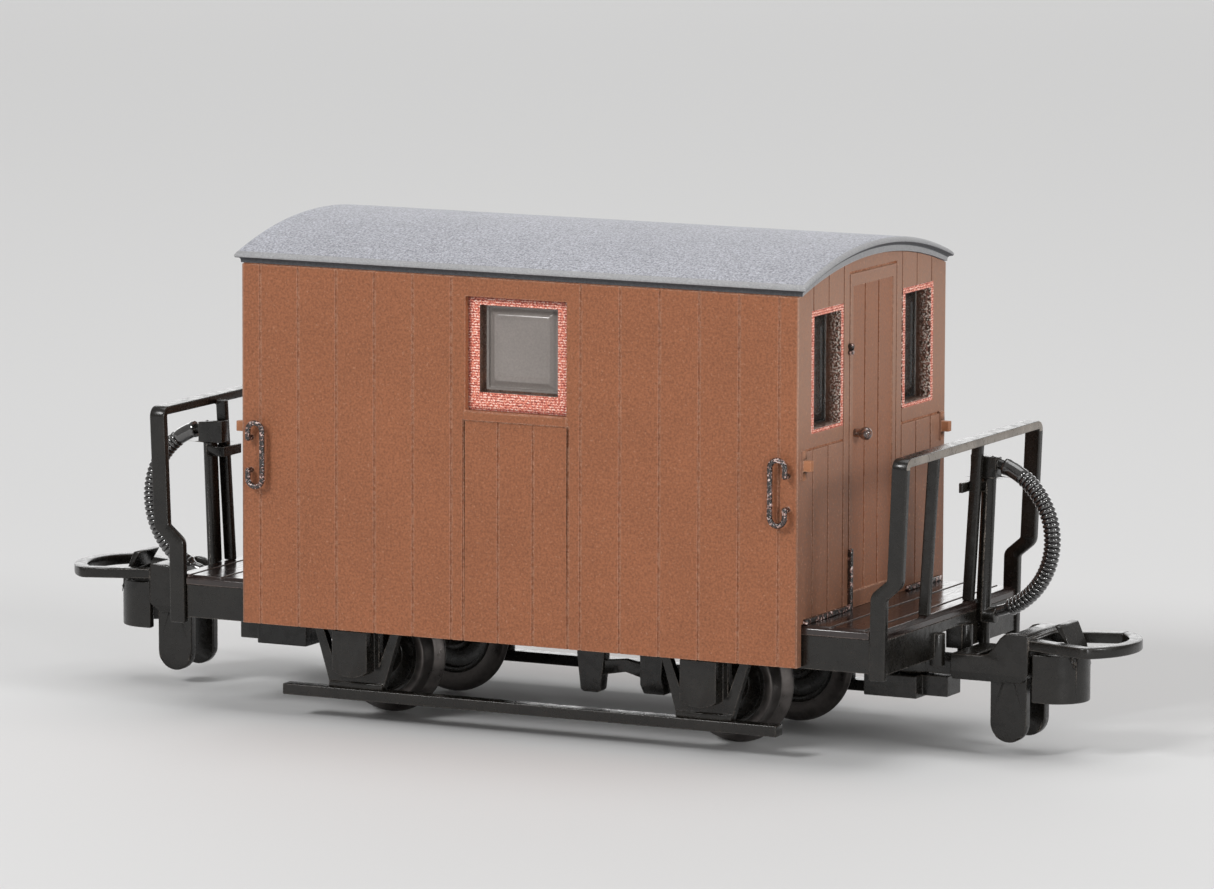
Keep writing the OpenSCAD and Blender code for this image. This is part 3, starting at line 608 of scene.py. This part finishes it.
def make_hose(end, turn):
    """Ribbed hose bowed outwards between the two nipples of the standpipe."""
    length = HOSE_BEND_RADIUS * math.radians(HOSE_TOP + HOSE_LOW)
    sides, per_rib = 28, 10
    ribs = int((length - CUFF_TOP - CUFF_FOOT) / RIB_PITCH)
    # rings along the hose: close together round the lip of the top cuff, then ten to each rib
    stations = [0, 0.04, 0.08, 0.12, 0.17, 0.22, 0.28, 0.36, 0.5, 0.8, 1.1, 1.3]
    stations += [CUFF_TOP + RIB_PITCH * i / per_rib for i in range(ribs * per_rib + 1)]
    stations += [length - CUFF_FOOT + 0.001, length - CUFF_FOOT / 2, length]
    rings = []
    for s in stations:
        angle = math.radians(HOSE_TOP) - s / HOSE_BEND_RADIUS
        out = Vector((math.cos(angle), 0, math.sin(angle)))
        centre = HOSE_BEND + HOSE_BEND_RADIUS * out
        r = hose_radius(s, length)
        ring = []
        for k in range(sides):
            a = 2 * math.pi * k / sides
            p = centre + r * (math.cos(a) * out + math.sin(a) * Vector((0, 1, 0)))
            ring.append((turn * p.x, turn * p.y, p.z))
        rings.append(ring)
    stitch(f"brake_hose_{end}_ribbed", rings, "hose_black", f"brake_hose_{end}", 60)


def rounded_rectangle(half_w, half_h, radius, corner_steps=5):
    """Points round a rectangle with round corners, anticlockwise."""
    points = []
    for k, (sx, sy) in enumerate(((1, 1), (-1, 1), (-1, -1), (1, -1))):
        for i in range(corner_steps + 1):
            a = math.radians(90 * k + 90 * i / corner_steps)
            x = sx * (half_w - radius) + radius * math.cos(a)
            points.append((x, sy * (half_h - radius) + radius * math.sin(a)))
    return points


# the pane of a window: inset, corner radius, and depth below its front face; the first ring lies in
# the wall's plane
PANE = (
    (-0.12, 0.06, None), (0, 0.06, 0.1), (0.03, 0.08, 0.24), (0.1, 0.1, 0.24),
    (0.36, 0.2, 0.05), (0.42, 0.22, 0.005), (0.46, 0.23, 0), (0.52, 0.24, 0.012),
    (0.62, 0.26, 0.06), (0.68, 0.28, 0.07),
)
# by the axis a window faces: how far the pane stays inside its plate at each side, the top and the
# foot, and how far it is raised
PANE_PLACE = {1: (2.4, 1.0, 2.35, 0.08), 0: (0.7, 0.75, 0.95, 0.05)}


def make_glazing(node, axis):
    """Window glazing: a backing plate behind the wall and a pane with a bevelled border."""
    low, high = size_mm(node)
    centre = (low + high) / 2
    side = 1 if centre[axis] > 0 else -1
    across = 1 - axis
    back_face = side * min(abs(low[axis]), abs(high[axis]))
    front_face = side * max(abs(low[axis]), abs(high[axis]))
    margin_side, margin_top, margin_foot, raised = PANE_PLACE[axis]
    wall_face = front_face - side * raised
    half_w = (high[across] - low[across]) / 2

    def ring(points, depth, middle):
        made = []
        for u, v in points:
            p = [0, 0, middle[1] + v]
            p[axis], p[across] = depth, middle[0] + u
            made.append(tuple(p))
        return made

    middle = (centre[across], centre.z)
    plate = rounded_rectangle(half_w, (high.z - low.z) / 2, 0.1)
    rings = [ring(plate, back_face, middle), ring(plate, wall_face, middle)]
    pane_w = half_w - margin_side
    pane_h = (high.z - low.z - margin_top - margin_foot) / 2
    pane_middle = (centre[across], low.z + margin_foot + pane_h)
    for inset, radius, depth in PANE:
        points = rounded_rectangle(pane_w - inset, pane_h - inset, radius)
        level = wall_face if depth is None else front_face - side * depth
        rings.append(ring(points, level, pane_middle))
    glazing = stitch(node + "_pane", rings, "clear_glazing", node, 50)
    if axis == 0:
        glazing.data.materials[0] = clear_pane
    glazing.data.materials.append(dark_frame)
    for face in list(glazing.data.polygons)[len(plate):2 * len(plate)]:
        face.material_index = 1


# how wide the sharp edges of a moulding are rounded, in millimetres, by the start of its name
SOFT_EDGES = {
    "body_shell": 0.035, "side_window_frame": 0.03, "end_window_frame": 0.03, "underframe": 0.04,
    "side_frame": 0.05, "footboard": 0.06, "brake_gear": 0.05, "platform_deck": 0.05,
    "end_railing": 0.09, "standpipe": 0.04, "coupling_arm": 0.08, "coupling_hook": 0.08,
    "coupling_keeper": 0.06, "wheel_tyre": 0.05, "wheel_centre": 0.05, "door_catch": 0.03,
    "end_beading": 0.06, "ballast_weight": 0.1,
}
slot_of = {s["node"]: s["material_slot"] for s in frame["record"]["subparts"]}

make_roof()
for end, turn in (("right", 1), ("left", -1)):
    make_hose(end, turn)
for node in nodes:
    widths = [width for prefix, width in SOFT_EDGES.items() if node.startswith(prefix)]
    if widths:
        piece = soften(node, slot_of[node], widths[0])
        if "window_frame" in node:
            darken_sides(piece, 1 if node.startswith("side") else 0)
        if node.startswith("end_railing"):
            paint_rail_reflection(piece)
    elif "glazing" in node:
        make_glazing(node, 0 if node.startswith("end") else 1)
    elif not nodes[node].hide_render:
        nodes[node].data.materials.clear()
        nodes[node].data.materials.append(looks[slot_of[node]])


# ---------- floor and light ----------


def make_floor():
    """A plain pale floor under the wheels."""
    mesh = bpy.data.meshes.new("floor")
    reach = 6
    corners = [(-reach, -reach, 0), (reach, -reach, 0), (reach, reach, 0), (-reach, reach, 0)]
    mesh.from_pydata(corners, [], [(0, 1, 2, 3)])
    floor = bpy.data.objects.new("floor", mesh)
    bpy.context.collection.objects.link(floor)
    mesh.materials.append(Look("floor", (0.62, 0.62, 0.62), 0.8).done())


AIM = Vector((0, 0, 14)) * MM


def softbox(name, place, width, height, watts):
    """A rectangular lamp that looks at the middle of the coach."""
    data = bpy.data.lights.new(name, "AREA")
    data.shape, data.size, data.size_y, data.energy = "RECTANGLE", width, height, watts
    lamp = bpy.data.objects.new(name, data)
    lamp.location = place
    lamp.rotation_mode = "QUATERNION"
    lamp.rotation_quaternion = (AIM - Vector(place)).to_track_quat("-Z", "Y")
    lamp.visible_camera = False
    bpy.context.collection.objects.link(lamp)


def make_light():
    softbox("key", (-0.25, -0.55, 0.45), 0.2, 0.18, 2.9)
    softbox("top", (0.05, 0.1, 0.7), 0.6, 0.5, 2.2)
    softbox("fill", (0.6, -0.12, 0.25), 0.14, 0.14, 1.35)
    softbox("kicker", (0.5, -0.5, 0.14), 0.035, 0.22, 0.85)
    softbox("backdrop", (-0.4, 0.8, 0.22), 1.2, 0.4, 2.6)
    world = bpy.data.worlds.new("studio")
    world.use_nodes = True
    world.node_tree.nodes["Background"].inputs["Color"].default_value = (0.97, 0.96, 0.95, 1)
    world.node_tree.nodes["Background"].inputs["Strength"].default_value = 0.3
    bpy.context.scene.world = world


make_camera()
make_floor()
make_light()
bpy.context.scene.view_settings.view_transform = "Standard"
